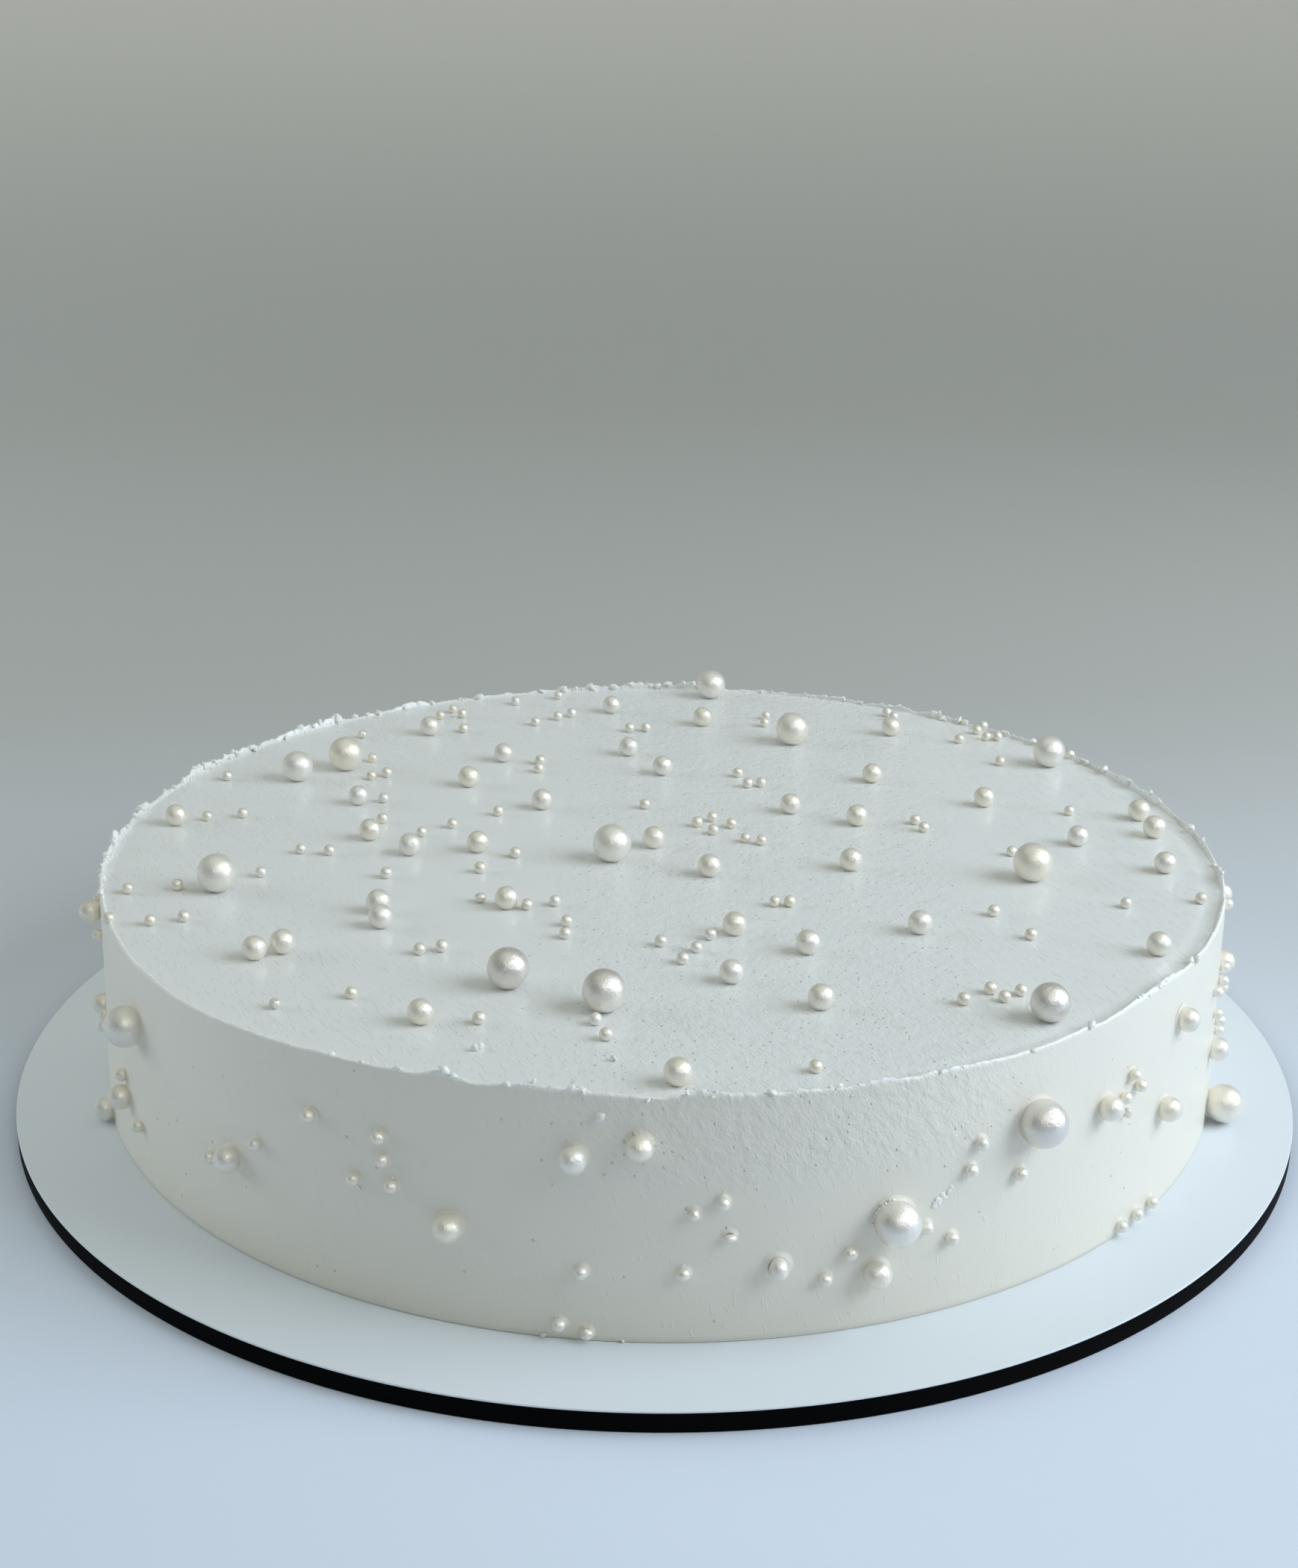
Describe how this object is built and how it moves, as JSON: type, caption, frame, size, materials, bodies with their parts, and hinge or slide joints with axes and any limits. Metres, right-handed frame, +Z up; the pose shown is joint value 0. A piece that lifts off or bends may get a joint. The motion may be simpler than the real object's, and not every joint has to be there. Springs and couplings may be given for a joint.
{
  "type": "round celebration cake on a board",
  "caption": "Low round single-tier cake in smooth ivory cream, scattered with sugar pearls of three sizes, on a round white board with a black edge.",
  "frame": {"origin": "middle of the board's underside", "axes": "+Z up, the front of the cake faces -Y, +X to its right"},
  "size_m": [0.4, 0.4, 0.0846],
  "materials": {
    "cream": "smooth scraped cream, satin, with a soft reflection on the top",
    "sugar_pearl": "ivory sugar with a fine pearly glitter",
    "board_face": "white satin laminate",
    "board_edge": "black matte edge of the pressed board"
  },
  "bodies": {
    "root": {"board_core": "board_edge", "board_face": "board_face", "cake": "cream", "pearl_large_01": "sugar_pearl", "pearl_large_02": "sugar_pearl", "pearl_large_03": "sugar_pearl", "pearl_large_04": "sugar_pearl", "pearl_large_05": "sugar_pearl", "pearl_large_06": "sugar_pearl", "pearl_large_07": "sugar_pearl", "pearl_large_08": "sugar_pearl", "pearl_large_09": "sugar_pearl", "pearl_large_10": "sugar_pearl", "pearl_large_11": "sugar_pearl", "pearl_large_12": "sugar_pearl", "pearl_large_13": "sugar_pearl", "pearl_large_14": "sugar_pearl", "pearl_large_15": "sugar_pearl", "pearl_large_16": "sugar_pearl", "pearl_large_17": "sugar_pearl", "pearl_large_18": "sugar_pearl", "pearl_large_19": "sugar_pearl", "pearl_large_20": "sugar_pearl"}
  },
  "joints": []
}
